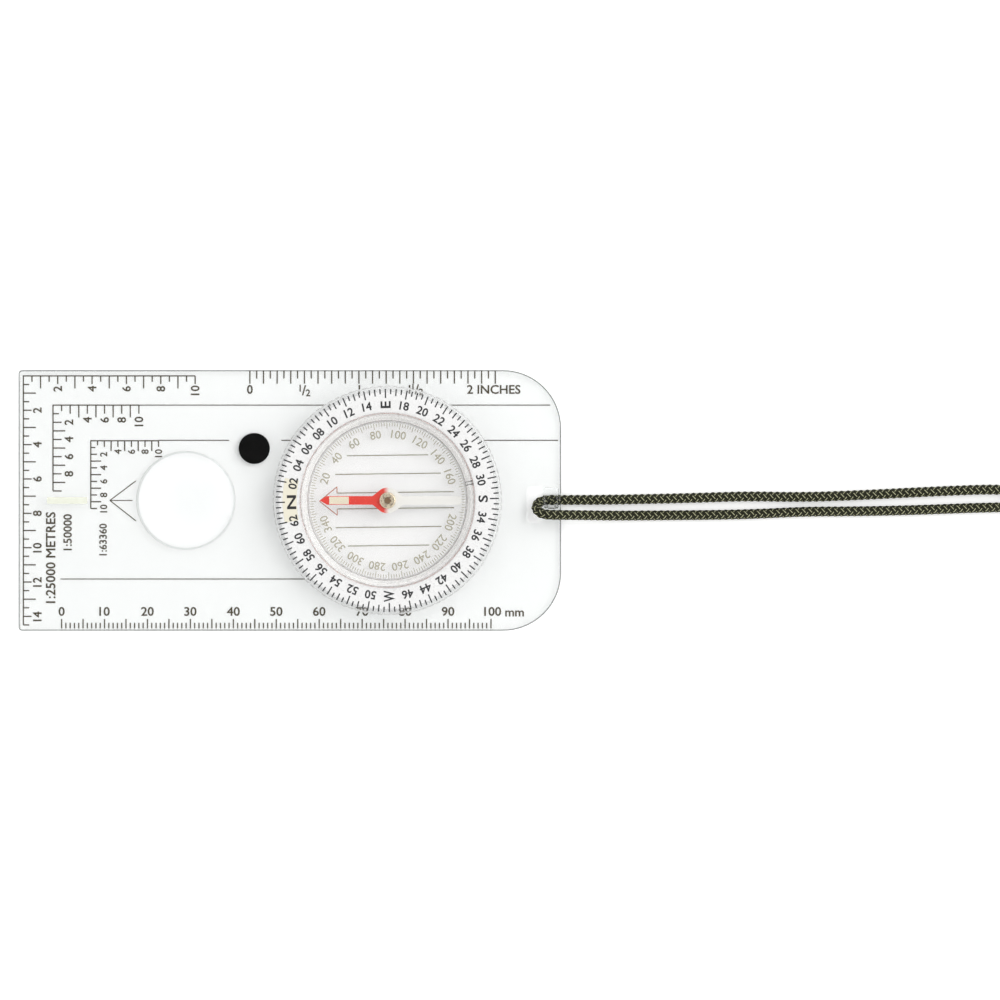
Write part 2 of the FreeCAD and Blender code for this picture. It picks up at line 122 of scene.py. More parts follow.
# The braid: rings every STEP along a strand, which goes once round the cord in each LEAD.
STEP = 0.25
LEAD = 6.0
STRANDS_EACH_WAY = 4
WEAVE_RADIUS = 0.78
WEAVE_DEPTH = 0.17
STRAND_HALF_WIDTH = 0.53
STRAND_HALF_THICKNESS = 0.28
STRAND_SIDES = 8
CORE_RADIUS = 0.86
CORE_SIDES = 10
# The core uses one in four of the braid's rings.
COARSE = 4
# Where the flat ends of a tube sit round its UVs: away from the tracer yarn.
CAP_V = 0.75

KNOT_SCALE = 1.24
KNOT_RISE = 1.2
KNOT_POINTS = 24
# The part of a point's step by which the trefoil is left open at each end.
KNOT_GAP = 0.4
# Each tail's points, from the knot's centre.
KNOT_TAIL_IN = ((6.3, -2.3), (5.2, -2.0))
KNOT_TAIL_OUT = ((5.3, 1.9), (6.4, 2.4))


def coil_points(height):
    """A flat coil that starts at its lowest Y and winds inward."""
    points = []
    for i in range(int(COIL_TURNS * POINTS_PER_TURN) + 1):
        turns = i / POINTS_PER_TURN
        angle = turns * TURN - math.pi / 2
        radius = COIL_RADIUS - COIL_SPACING * turns
        x = COIL_CENTRE[0] + radius * math.cos(angle)
        y = COIL_CENTRE[1] + radius * math.sin(angle)
        points.append((x, y, height))
    return points


def knot_points():
    """An overhand knot: a trefoil opened at its outer lobe, with two short tails."""
    x, y = COIL_CENTRE
    low = LOWER_LAYER
    points = [(x + dx, y + dy, low) for dx, dy in KNOT_TAIL_IN]
    for i in range(KNOT_POINTS + 1):
        t = math.pi + (i + KNOT_GAP) / (KNOT_POINTS + 2 * KNOT_GAP) * TURN
        across = math.sin(t) + 2 * math.sin(2 * t)
        along = math.cos(t) - 2 * math.cos(2 * t)
        rise = low + KNOT_RISE * (1 - math.sin(3 * t))
        points.append((x - KNOT_SCALE * along, y + KNOT_SCALE * across, rise))
    return points + [(x + dx, y + dy, low) for dx, dy in KNOT_TAIL_OUT]


def route_line(name, points):
    """Evenly spaced points, in metres, read from a NURBS spline through the route."""
    curve = bpy.data.curves.new(name, "CURVE")
    curve.dimensions = "3D"
    curve.resolution_u = 12
    spline = curve.splines.new("NURBS")
    spline.points.add(len(points) - 1)
    for control, point in zip(spline.points, points):
        control.co = (*(Vector(point) * MM), 1)
    spline.order_u = 3
    spline.use_endpoint_u = True
    holder = link(name, curve)
    mesh = bpy.data.meshes.new_from_object(holder)
    read = np.array([v.co for v in mesh.vertices])
    bpy.data.objects.remove(holder)
    bpy.data.meshes.remove(mesh)
    runs = np.linalg.norm(np.diff(read, axis=0), axis=1)
    along = np.concatenate(([0], np.cumsum(runs)))
    places = np.linspace(0, along[-1], int(along[-1] / (STEP * MM)) + 1)
    return np.stack([np.interp(places, along, read[:, k]) for k in range(3)], axis=1)


def frames_along(line):
    """Forward, side and up directions that turn with the line without twisting."""
    forward = np.gradient(line, axis=0)
    forward /= np.linalg.norm(forward, axis=1)[:, None]
    side = np.empty_like(forward)
    last = np.cross((0, 0, 1), forward[0])
    for i, direction in enumerate(forward):
        last = last - direction * last.dot(direction)
        last = last / np.linalg.norm(last)
        side[i] = last
    return forward, side, np.cross(forward, side)


class TubeMesh:
    """Gathers closed tubes, each a grid of rings, into one mesh with UVs."""

    def __init__(self):
        self.verts = []
        self.faces = []
        self.uvs = []
        self.count = 0

    def add(self, rings, along):
        """rings is (length, sides, 3). U runs along the tube in metres, V goes round it."""
        length, sides, _ = rings.shape
        index = np.arange(length * sides).reshape(length, sides) + self.count
        nxt = np.roll(index, -1, axis=1)
        quads = np.stack([index[:-1], nxt[:-1], nxt[1:], index[1:]], axis=-1).reshape(-1, 4)
        v = np.arange(sides + 1) / sides
        u0 = np.repeat(along[:-1], sides)
        u1 = np.repeat(along[1:], sides)
        v0 = np.tile(v[:-1], length - 1)
        v1 = np.tile(v[1:], length - 1)
        corners = [(u0, v0), (u0, v1), (u1, v1), (u1, v0)]
        self.uvs.append(np.stack([np.stack(c, axis=-1) for c in corners], axis=1).reshape(-1, 2))
        self.verts.append(rings.reshape(-1, 3))
        self.faces += quads.tolist()
        for ring, u in ((index[0][::-1], along[0]), (index[-1], along[-1])):
            self.faces.append(ring.tolist())
            self.uvs.append(np.tile((u, CAP_V), (sides, 1)))
        self.count += length * sides

    def make(self, name):
        mesh = bpy.data.meshes.new(name)
        mesh.from_pydata(np.concatenate(self.verts).tolist(), [], self.faces)
        layer = mesh.uv_layers.new(name="along_and_round")
        layer.data.foreach_set("uv", np.concatenate(self.uvs).ravel())
        mesh.polygons.foreach_set("use_smooth", [True] * len(mesh.polygons))
        mesh.update()
        return link(name, mesh)


def braid(name, line):
    """Flat strands, four each way, woven over one and under one round a core."""
    forward, side, up = frames_along(line)
    along = np.arange(len(line)) * STEP * MM
    phase = along / (LEAD * MM) * TURN
    tubes = TubeMesh()
    ring = np.arange(STRAND_SIDES) / STRAND_SIDES * TURN
    for way in (1, -1):
        radius = (WEAVE_RADIUS + way * WEAVE_DEPTH * np.cos(phase * STRANDS_EACH_WAY)) * MM
        for strand in range(STRANDS_EACH_WAY):
            turn = (way * phase + strand / STRANDS_EACH_WAY * TURN)[:, None]
            out = np.cos(turn) * side + np.sin(turn) * up
            round_ = np.cos(turn) * up - np.sin(turn) * side
            heading = forward + round_ * way * WEAVE_RADIUS / LEAD * TURN
            heading /= np.linalg.norm(heading, axis=1)[:, None]
            width = np.cross(heading, out)[:, None] * STRAND_HALF_WIDTH * MM
            thick = out[:, None] * STRAND_HALF_THICKNESS * MM
            centre = (line + out * radius[:, None])[:, None]
            bow = np.cos(ring)[None, :, None]
            crown = np.sin(ring)[None, :, None]
            tubes.add(centre + bow * width + crown * thick, along)
    core = np.arange(CORE_SIDES) / CORE_SIDES * TURN
    rings = line[:, None] + CORE_RADIUS * MM * (
        np.cos(core)[None, :, None] * side[:, None] + np.sin(core)[None, :, None] * up[:, None]
    )
    tubes.add(rings[::COARSE], along[::COARSE])
    return tubes.make(name)


def make_cord(name, route, height, end, nodes):
    """One strand, from the slot to its coil at a height, and then to its end in the knot."""
    line = route_line(name + "_route", route + coil_points(height) + end)
    piece = braid(name, line)
    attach(piece, "plate")
    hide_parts(*nodes)
    return piece


def make_lanyard():
    knot = braid("lanyard_overhand_knot", route_line("knot_route", knot_points()))
    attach(knot, "plate")
    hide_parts("lanyard_knot")
    over = make_cord("lanyard_over_braid", OVER_ROUTE, LOWER_LAYER, OVER_END,
                     ["lanyard_over_strand", "lanyard_coil"])
    under = make_cord("lanyard_under_braid", UNDER_ROUTE, UPPER_LAYER, UNDER_END,
                      ["lanyard_under_strand"])
    return [over, under, knot]


lanyard = make_lanyard()

# ---------------------------------------------------------------- node helpers


class Nodes:
    """A short way to write a material's node tree."""

    def __init__(self, name):
        self.material = bpy.data.materials.new(name)
        self.material.use_nodes = True
        self.tree = self.material.node_tree
        self.tree.nodes.clear()
        self.output = self.add("ShaderNodeOutputMaterial")

    def add(self, kind, inputs=None, **settings):
        node = self.tree.nodes.new(kind)
        for key, value in settings.items():
            setattr(node, key, value)
        for key, value in (inputs or {}).items():
            self.give(node.inputs[key], value)
        return node

    def give(self, socket, value):
        if isinstance(value, bpy.types.NodeSocket):
            self.tree.links.new(value, socket)
        elif isinstance(value, tuple) and len(value) == 3 and socket.type == "RGBA":
            socket.default_value = (*value, 1)
        else:
            socket.default_value = value

    def place(self):
        return self.add("ShaderNodeTexCoord").outputs["Object"]

    def noise(self, scale, detail=3.0, where=None):
        node = self.add("ShaderNodeTexNoise", {"Scale": scale, "Detail": detail})
        self.give(node.inputs["Vector"], where or self.place())
        return node.outputs["Fac"]

    def spread(self, value, low, high, start=0.3, end=0.7):
        """Maps a texture value to the range low to high."""
        node = self.add("ShaderNodeMapRange", {"Value": value, "From Min": start, "From Max": end,
                                               "To Min": low, "To Max": high})
        return node.outputs["Result"]

    def mix(self, factor, first, second):
        """Mixes two colours. A Mix node repeats its sockets' names, so they go by number."""
        node = self.add("ShaderNodeMix", data_type="RGBA")
        self.give(node.inputs[0], factor)
        self.give(node.inputs[6], first)
        self.give(node.inputs[7], second)
        return node.outputs[2]

    def math(self, operation, first, second=0.0):
        node = self.add("ShaderNodeMath", {0: first, 1: second}, operation=operation)
        return node.outputs[0]

    def from_axis(self):
        """Distance from the dial's axis, in metres."""
        offset = self.add("ShaderNodeVectorMath", {0: self.place(), 1: (-AXIS_X * MM, 0.0, 0.0)})
        flat = self.add("ShaderNodeVectorMath", {0: offset.outputs[0], 1: (1.0, 1.0, 0.0)},
                        operation="MULTIPLY")
        return self.add("ShaderNodeVectorMath", {0: flat.outputs[0]},
                        operation="LENGTH").outputs["Value"]

    def bump(self, height, distance, strength=1.0):
        """A bump whose distance is in mm."""
        node = self.add("ShaderNodeBump", {"Height": height, "Distance": distance * MM,
                                           "Strength": strength})
        return node.outputs["Normal"]

    def principled(self, inputs):
        return self.add("ShaderNodeBsdfPrincipled", inputs).outputs[0]

    def let_light_through(self, surface, tint):
        """The surface for every ray but a shadow ray, which passes with a grey tint."""
        path = self.add("ShaderNodeLightPath").outputs["Is Shadow Ray"]
        passing = self.add("ShaderNodeBsdfTransparent", {"Color": (tint, tint, tint)}).outputs[0]
        return self.add("ShaderNodeMixShader", {0: path, 1: surface, 2: passing}).outputs[0]

    def finish(self, shader):
        self.give(self.output.inputs["Surface"], shader)
        return self.material


def shade(colour, factor):
    return tuple(min(1.0, c * factor) for c in colour)


MOTTLING_SCALE = 180.0
ACRYLIC_IOR = 1.49


def moulded(name, colour, rough=(0.3, 0.45), grain=2500.0, depth=0.004, vary=0.06, **sockets):
    """An opaque moulded, painted or printed surface with fine grain and slight mottling."""
    n = Nodes(name)
    mottling = n.noise(MOTTLING_SCALE)
    texture = n.noise(grain, 4.0)
    inputs = {
        "Base Color": n.mix(mottling, shade(colour, 1 - vary), shade(colour, 1 + vary)),
        "Roughness": n.spread(texture, *rough),
        "Normal": n.bump(texture, depth),
    }
    inputs.update(sockets)
    return n.finish(n.principled(inputs))


# The plate's outline is painted as a thin dark rim: painted shade for the dark line that
# refraction shows along its rounded edges. The other two are ranges of the normal's upright
# part, from a side wall (0) to the rim, and from the rim to the flat face (1).
PAINTED_RIM_WIDTH = 0.7
WALL_TO_RIM = (0.15, 0.35)
RIM_TO_FACE = (0.92, 0.998)


def near_outline(n):
    """1 within a rim's width of the plate's outline, with its two large round corners: where the
    painted shade of the dark rim goes.
    """
    split = n.add("ShaderNodeSeparateXYZ", {0: n.place()})
    x, y = split.outputs[0], split.outputs[1]
    past_x = n.math("MAXIMUM", n.math("SUBTRACT", x, (PLATE_END - CORNER) * MM), 0.0)
    past_y = n.math("SUBTRACT", n.math("ABSOLUTE", y), (PLATE_SIDE - CORNER) * MM)
    past_y = n.math("MAXIMUM", past_y, 0.0)
    reach = n.math("SQRT", n.math("ADD", n.math("MULTIPLY", past_x, past_x),
                                  n.math("MULTIPLY", past_y, past_y)))
    round_end = n.math("GREATER_THAN", reach, (CORNER - PAINTED_RIM_WIDTH) * MM)
    square_end = n.math("LESS_THAN", x, (PAINTED_RIM_WIDTH - PLATE_END) * MM)
    return n.math("MAXIMUM", round_end, square_end)


def clear(name, colour, rough=(0.01, 0.04), scratch=0.0012, rim=None, shadow=0.98):
    """Clear plastic with faint handling wear. Shadow rays pass, so what lies below is lit.

    rim holds two tints: a dark one painted on the plate's rounded outline as painted shade,
    for the dark line that refraction shows there, and one for its upright side walls.
    """
    n = Nodes(name)
    if rim:
        facing = n.add("ShaderNodeSeparateXYZ", {0: n.add("ShaderNodeTexCoord").outputs["Normal"]})
        flat = n.math("ABSOLUTE", facing.outputs[2])
        # The rounded outline is painted near black, as painted shade for the dark line that
        # refraction shows along the plate's edge; the side walls get a pale tint.
        painted_edge_shade = n.mix(n.spread(flat, 0.0, 1.0, *WALL_TO_RIM), rim[1], rim[0])
        outline = n.math("MULTIPLY", n.spread(flat, 1.0, 0.0, *RIM_TO_FACE), near_outline(n))
        colour = n.mix(outline, colour, painted_edge_shade)
    wear = n.noise(900.0, 6.0)
    stretched = n.add("ShaderNodeMapping", {"Vector": n.place(), "Scale": (60.0, 900.0, 900.0),
                                            "Rotation": (0.0, 0.0, 0.35)}).outputs[0]
    rub = n.noise(3.0, 8.0, stretched)
    surface = n.principled({
        "Base Color": colour,
        "Roughness": n.spread(wear, *rough),
        "IOR": ACRYLIC_IOR,
        "Transmission Weight": 1.0,
        "Normal": n.bump(rub, scratch),
    })
    return n.finish(n.let_light_through(surface, shadow))


# ---------------------------------------------------------------- materials

# Distances from the dial's axis: the start of the seal's red lip and how far it takes to show,
# and where the bezel goes from milky to clear.
SEAL_LIP = 19.95
SEAL_LIP_FADE = 0.12
CLEAR_RIM = (24.9 * MM, 25.4 * MM)

OLIVE = (0.003, 0.0035, 0.001)
OLIVE_LIGHT = (0.024, 0.026, 0.008)
TRACER = (0.54, 0.54, 0.33)
# The tracer yarn lies at this place round a strand, where the crown is, and this far each side.
TRACER_PLACE = 0.29
TRACER_EDGE = (0.014, 0.034)
# How fast the fibres turn along a strand, by the metre, and round it.
FIBRES_ALONG = 2400.0
FIBRES_ROUND = 60.0
# Where the needle's paint goes from red to white, from the dial's axis.
PAINT_FADE = (-0.9, 0.3)
# Grooves left by turning, as radians for each metre from the axis.
TURNED_GROOVES = 90000.0
NEEDLE_RED = (0.84, 0.05, 0.032)
NEEDLE_WHITE = (0.93, 0.92, 0.88)
PLATE_INK = (0.085, 0.068, 0.040)
DIAL_INK = (0.012, 0.012, 0.014)
CAPSULE_INK = (0.30, 0.28, 0.19)
PALE_INK = (0.46, 0.43, 0.32)


def braid_material():
    """Twisted fibres run along each strand, and a cream tracer yarn lies on its crown."""
    n = Nodes("olive_braid")
    uv = n.add("ShaderNodeTexCoord").outputs["UV"]
    split = n.add("ShaderNodeSeparateXYZ", {0: uv})
    along, round_ = split.outputs[0], split.outputs[1]
    off_crown = n.math("ABSOLUTE", n.math("SUBTRACT", round_, TRACER_PLACE))
    tracer = n.spread(off_crown, 1.0, 0.0, *TRACER_EDGE)
    twist = n.math("ADD", n.math("MULTIPLY", along, FIBRES_ALONG),
                   n.math("MULTIPLY", round_, FIBRES_ROUND))
    fibre = n.math("SINE", twist)
    mottling = n.noise(1400.0)
    base = n.mix(n.spread(fibre, 0.0, 1.0, -1.0, 1.0), OLIVE, OLIVE_LIGHT)
    thread = n.mix(mottling, shade(TRACER, 0.8), TRACER)
    return n.finish(n.principled({
        "Base Color": n.mix(tracer, base, thread),
        "Roughness": n.spread(mottling, 0.55, 0.8),
        "Specular IOR Level": 0.25,
        "Sheen Weight": 0.08,
        "Sheen Roughness": 0.4,
        "Normal": n.bump(fibre, 0.03, 0.6),
    }))


def needle_paint():
    """Red on the north half, fading to white on the south half just before the pivot."""
    n = Nodes("needle_paint")
    x = n.add("ShaderNodeSeparateXYZ", {0: n.place()}).outputs[0]
    start, end = ((AXIS_X + offset) * MM for offset in PAINT_FADE)
    south = n.spread(x, 0.0, 1.0, start, end)
    speckle = n.noise(3000.0)
    return n.finish(n.principled({
        "Base Color": n.mix(south, NEEDLE_RED, NEEDLE_WHITE),
        "Roughness": n.spread(speckle, 0.3, 0.42),
        "Normal": n.bump(speckle, 0.003),
    }))


def bezel_plastic():
    """Milky plastic that lets some light through, with a clear rim outside its scale."""
    n = Nodes("bezel_plastic")
    grain = n.noise(900.0, 3.0)
    milk = n.noise(120.0)
    rim = n.spread(n.from_axis(), 0.0, 1.0, *CLEAR_RIM)
    milky = n.mix(milk, (0.87, 0.865, 0.86), (0.91, 0.91, 0.905))
    body = n.principled({
        "Base Color": n.mix(rim, milky, (0.95, 0.95, 0.95)),
        "Roughness": n.math("SUBTRACT", n.spread(grain, 0.22, 0.34), n.math("MULTIPLY", rim, 0.2)),
        "IOR": ACRYLIC_IOR,
        "Transmission Weight": n.math("ADD", n.math("MULTIPLY", rim, 0.82), 0.12),
        "Normal": n.bump(grain, 0.0006),
    })
    return n.finish(n.let_light_through(body, 0.985))


def turned_metal(name, colour, rough):
    """Bare metal with fine rings left by turning about the dial's axis."""
    n = Nodes(name)
    rings = n.math("SINE", n.math("MULTIPLY", n.from_axis(), TURNED_GROOVES))
    tarnish = n.noise(1500.0)
    return n.finish(n.principled({
        "Base Color": n.mix(tarnish, shade(colour, 0.8), colour),
        "Metallic": 1.0,
        "Roughness": n.spread(tarnish, *rough),
        "Normal": n.bump(rings, 0.002, 0.5),
    }))


def seal_material():
    """Pale translucent sealing ring whose outer lip is orange red."""
    n = Nodes("seal_rubber")
    lip = n.spread(n.from_axis(), 0.0, 1.0, SEAL_LIP * MM, (SEAL_LIP + SEAL_LIP_FADE) * MM)
    cloud = n.noise(160.0)
    pale = n.mix(cloud, (0.94, 0.92, 0.89), (0.98, 0.97, 0.95))
    return n.finish(n.principled({
        "Base Color": n.mix(lip, pale, (0.80, 0.12, 0.04)),
        "Roughness": n.spread(cloud, 0.4, 0.55),
        "Alpha": 0.2,
        "Normal": n.bump(n.noise(1500.0), 0.01),
    }))


def give_material(thing, material):
    thing.data.materials.clear()
    thing.data.materials.append(material)


plate_ink = moulded("plate_ink", PLATE_INK, (0.45, 0.6), 4000.0, 0.002, 0.18)
dial_ink = moulded("dial_ink", DIAL_INK, (0.4, 0.55), 4000.0, 0.002, 0.1)
capsule_ink = moulded("capsule_ink", CAPSULE_INK, (0.45, 0.6), 4000.0, 0.002, 0.15)
pale_ink = moulded("pale_ink", PALE_INK, (0.45, 0.6), 4000.0, 0.002, 0.15)
arrow_ink = moulded("arrow_ink", (0.46, 0.15, 0.08), (0.45, 0.6), 4000.0, 0.002, 0.15)
capsule_plastic = clear("capsule_plastic", (0.972, 0.972, 0.97), shadow=1.0)

CAD_MATERIALS = {
    # The plate's first rim tint is painted shade: a near-black line along its rounded outline.
    "baseplate": clear("clear_acrylic", (0.865, 0.875, 0.87),
                       rim=((0.02, 0.025, 0.022), (0.93, 0.97, 0.95))),
    "magnifier_lens": clear("lens_acrylic", (0.88, 0.89, 0.888), (0.0, 0.02), 0.0008,
                            shadow=0.96),
    "non_slip_pad": moulded("pad_rubber", (0.002, 0.002, 0.002), (0.55, 0.75), 1800.0, 0.01,
                            **{"Specular IOR Level": 0.0}),
    "travel_strip": moulded("strip_luminous", (0.90, 0.92, 0.72), (0.5, 0.65), 3500.0, 0.01, 0.04,
                            Alpha=0.32),
    "bezel_ring": bezel_plastic(),
    "north_luminous_patch": moulded("patch_luminous", (0.80, 0.76, 0.62), (0.45, 0.6), 3500.0,
                                    0.004, 0.04),
    "retaining_ring": turned_metal("spring_steel", (0.62, 0.62, 0.60), (0.25, 0.4)),
    "drag_ring": moulded("drag_felt", (0.80, 0.80, 0.78), (0.8, 0.95), 3000.0, 0.06, 0.1,
                         **{"Sheen Weight": 0.3}),
    "capsule_base": capsule_plastic,
    "capsule_seal_ring": seal_material(),
    "capsule_dome": capsule_plastic,
    "filler_plug": capsule_plastic,
    "pivot_pin": turned_metal("pivot_steel", (0.70, 0.70, 0.70), (0.15, 0.25)),
    "needle_blade": needle_paint(),
    "needle_luminous_band": moulded("band_luminous", (0.89, 0.80, 0.62), (0.5, 0.65), 3500.0,
                                    0.008, 0.05),
    "needle_hub": turned_metal("brass", (0.95, 0.82, 0.62), (0.2, 0.34)),
    "jewel_bearing": moulded("jewel", (0.22, 0.14, 0.08), (0.08, 0.15), 2500.0, 0.001, 0.2,
                             **{"Coat Weight": 0.5}),
}
for node_name, material in CAD_MATERIALS.items():
    give_material(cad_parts[node_name], material)
braid_finish = braid_material()
for piece in lanyard:
    give_material(piece, braid_finish)

# ---------------------------------------------------------------- printed scales

INK_SUNK = 0.006
INK_PROUD = 0.016
QUARTER = math.pi / 2
BOX_FACES = [(0, 3, 2, 1), (4, 5, 6, 7), (0, 1, 5, 4), (1, 2, 6, 5), (2, 3, 7, 6), (3, 0, 4, 7)]


class Print:
    """Gathers printed bars and figures, in mm, that lie on one face of one body."""

    glyphs = {}

    def __init__(self, height, faces_down=False):
        """height is the printed face, which points down on the underside of a clear piece."""
        proud = (INK_PROUD - INK_SUNK) / 2
        self.height = height - proud if faces_down else height + proud
        self.verts = []
        self.faces = []

    def add(self, points, faces, matrix):
        """points are flat shapes with z from -0.5 to 0.5, which becomes the ink's thickness."""
        start = len(self.verts)
        for point in points:
            x, y, _ = matrix @ Vector((point[0], point[1], 0))
            self.verts.append((x, y, self.height + point[2] * (INK_PROUD + INK_SUNK)))
        self.faces += [[start + i for i in face] for face in faces]

    def bar(self, start, end, width):
        """A straight line of ink."""
        a, b = Vector(start), Vector(end)
        half = (b - a).length / 2
        w = width / 2
        corners = [(-half, -w), (half, -w), (half, w), (-half, w)]
        points = [(x, y, z) for z in (-0.5, 0.5) for x, y in corners]
        middle = (a + b) / 2
        angle = math.atan2(b.y - a.y, b.x - a.x)
        place = Matrix.Translation((*middle, 0))
        self.add(points, BOX_FACES, place @ Matrix.Rotation(angle, 4, "Z"))

    def polyline(self, points, width):
        for a, b in zip(points, points[1:]):
            self.bar(a, b, width)

    def text(self, words, place, height, angle=0.0, weight=0.016, stretch=1.0):
        """Figures centred on a place, with their capital height and their angle."""
        points, faces = self.glyph(words, weight)
        matrix = Matrix.Translation((*place, 0)) @ Matrix.Rotation(angle, 4, "Z")
        size = Matrix.Diagonal((height * stretch, height, 1, 1))
        self.add(points, faces, matrix @ size)

    @classmethod
    def glyph(cls, words, weight):
        """Points and faces of some figures, centred, one unit high."""
        key = (words, weight)
        if key not in cls.glyphs:
            raw, faces = cls.outline(words, weight)
            cap, _ = cls.outline("H", weight)
            tall = max(p[1] for p in cap) - min(p[1] for p in cap)
            foot = min(p[1] for p in cap)
            left = min(p[0] for p in raw)
            right = max(p[0] for p in raw)
            points = [((x - (left + right) / 2) / tall, (y - foot) / tall - 0.5, z)
                      for x, y, z in raw]
            cls.glyphs[key] = points, faces
        return cls.glyphs[key]

    @staticmethod
    def outline(words, weight):
        """Blender's own figures as a mesh, made bolder by a weight."""
        curve = bpy.data.curves.new("figures", "FONT")
        curve.body = words
        curve.size = 1
        curve.extrude = 0.5
        curve.bevel_depth = weight
        curve.bevel_resolution = 0
        curve.resolution_u = 3
        holder = link("figures", curve)
        mesh = bpy.data.meshes.new_from_object(holder)
        points = [tuple(v.co) for v in mesh.vertices]
        faces = [tuple(p.vertices) for p in mesh.polygons]
        bpy.data.objects.remove(holder)
        bpy.data.meshes.remove(mesh)
        return points, faces

    def make(self, name, body, material, slot):
        """Turns what was gathered into a piece that rides on a body."""
        mesh = bpy.data.meshes.new(name)
        mesh.from_pydata([tuple(c * MM for c in v) for v in self.verts], [], self.faces)
        mesh.update()
        piece = link(name, mesh)
        give_material(piece, material)
        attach(piece, body)


# Widths of the printed lines on the plate.
LINE = 0.27
LONG_LINE = 0.22
FINE = 0.28
POINTER_LINE = 0.22
POINTER_TAIL = 0.2
# Widths on the dial and in the capsule.
DIAL_TICK = 0.3
CAPSULE_TICK = 0.14
MERIDIAN_LINE = 0.24
ARROW_LINE = 0.2
# Capital height of the figures along the two rulers.
RULER_FIGURE = 2.05
# A half: each character, its offset from the slash and its height.
HALF = [("1", -0.9, 0.5, 1.6), ("/", 0.0, 0.0, 2.3), ("2", 0.95, -0.6, 1.6)]


def romer(scales, figures, corner, unit, across, down, tick, shown, row, column, size):
    """A grid-reference corner: a line each way from the corner, ticked inward and numbered.

    across and down are the line lengths in units. tick gives the length of each kind of tick.
    row is the height of the figures across, which start at shown. column is the place of the
    figures down, and which of them there are. size is the capital height.
    """
    x0, y0 = corner
    scales.bar((x0 - LINE / 2, y0), (x0 + across * unit, y0), LINE)
    scales.bar((x0, y0), (x0, y0 - down * unit), LINE)
    for n, length in ticks(across, tick):
        scales.bar((x0 + n * unit, y0), (x0 + n * unit, y0 - length), FINE)
    for n, length in ticks(down, tick):
        scales.bar((x0, y0 - n * unit), (x0 + length, y0 - n * unit), FINE)
    for n in range(2, int(across) + 1, 2):
        if n >= shown:
            drop = 0.35 if n >= 10 else 0.0
            figures.text(str(n), (x0 + n * unit, row - drop), size, QUARTER)
    for n in range(2, int(down) + 1, 2):
        if n in column[1]:
            figures.text(str(n), (column[0], y0 - n * unit), size, QUARTER)


def ticks(units, tick):
    """(position, length) of each tick along a line, at the marked fractions of a unit."""
    step = 0.5 if 0.5 in tick else 1.0
    found = []
    for i in range(1, int(units / step) + 1):
        n = i * step
        if n % 1:
            kind = 0.5
        elif n == 1 and "first" in tick:
            kind = "first"
        else:
            kind = "even" if n % 2 == 0 else "odd"
        found.append((n, tick[kind]))
    return found


def fraction(figures, place, whole=""):
    """A half, written small with a slash, after an optional whole number."""
    x, y = place
    if whole:
        figures.text(whole, (x - 1.7, y), RULER_FIGURE)
    for character, dx, dy, height in HALF:
        figures.text(character, (x + dx, y + dy), height)


def print_plate():
    scales = Print(PLATE_UNDERSIDE, faces_down=True)
    figures = Print(PLATE_UNDERSIDE, faces_down=True)
    romer(scales, figures, (-62.1, 29.0), 4.0, 10, 14.5, {0.5: 1.35, "odd": 2.9, "even": 1.9},
          2, 26.0, (-58.85, range(2, 15)), 2.0)
    romer(scales, figures, (-55.2, 22.2), 2.0, 10, 10, {"first": 1.4, "odd": 2.85, "even": 2.0},
          4, 18.75, (-51.5, (2, 4, 6, 8)), 2.0)
    romer(scales, figures, (-46.4, 13.9), 1.578, 10, 10, {"first": 1.05, "odd": 2.4, "even": 1.45},
          4, 11.35, (-43.4, (2, 4, 6, 8, 10)), 1.65)
    figures.text("1:25000 METRES", (-55.75, -13.3), 2.2, QUARTER, stretch=1.02)
    figures.text("1:50000", (-51.8, -7.4), 1.95, QUARTER, stretch=1.02)
    figures.text("1:63360", (-43.55, -9.1), 1.75, QUARTER)
    long_lines = [((-35.2, 22.2), (9.5, 22.2)), ((36.1, 22.2), (60.6, 22.2)),
                  ((-30.6, 14.0), (-14.2, 14.0)), ((-2.0, 14.0), (1.0, 14.0)),
                  ((44.6, 14.0), (62.4, 14.0)), ((-53.45, -18.3), (4.5, -18.3))]
    for start, end in long_lines:
        scales.bar(start, end, LONG_LINE)
    scales.polyline([(-35.9, 4.55), (-41.95, 0.0), (-35.9, -4.75)], POINTER_LINE)
    scales.bar((-41.95, 0.0), (-36.7, 0.0), POINTER_TAIL)
    print_millimetres(scales, figures)
    print_inches(scales, figures)
    for made, name in ((scales, "plate_scales"), (figures, "plate_figures")):
        made.make(name, "plate", plate_ink, "plate_ink")


def print_millimetres(scales, figures):
    """A ruler of 100 mm: a tick each mm, taller each 5, and a figure each 10."""
    zero, bottom, top, tall_top = -53.2, -29.8, -28.5, -27.6
    row = -25.85
    for n in range(101):
        end = tall_top if n % 5 == 0 else top
        scales.bar((zero + n, bottom), (zero + n, end), FINE)
    for n in range(0, 100, 10):
        figures.text(str(n), (zero + n, row), RULER_FIGURE, stretch=1.06)
    figures.text("100", (zero + 100.4, row), RULER_FIGURE, stretch=1.06)
    figures.text("mm", (52.3, -26.0), RULER_FIGURE, stretch=1.04)


def print_inches(scales, figures):
    """A ruler of just over 2 inches: a tick each sixteenth, taller each eighth."""
    zero, sixteenth = -9.35, 25.4 / 16
    top, short, tall = 30.1, 28.4, 27.2
    for n in range(37):
        x = zero + n * sixteenth
        scales.bar((x, top), (x, tall if n % 2 == 0 else short), FINE)
    row = 25.85
    figures.text("0", (zero, row), RULER_FIGURE)
    fraction(figures, (zero + 12.6, row - 0.2))
    figures.text("1", (zero + 25.5, row), RULER_FIGURE)
    fraction(figures, (zero + 38.9, row), "1")
    figures.text("2 INCHES", (zero + 50.8 + 6.0, row), RULER_FIGURE, stretch=1.04)


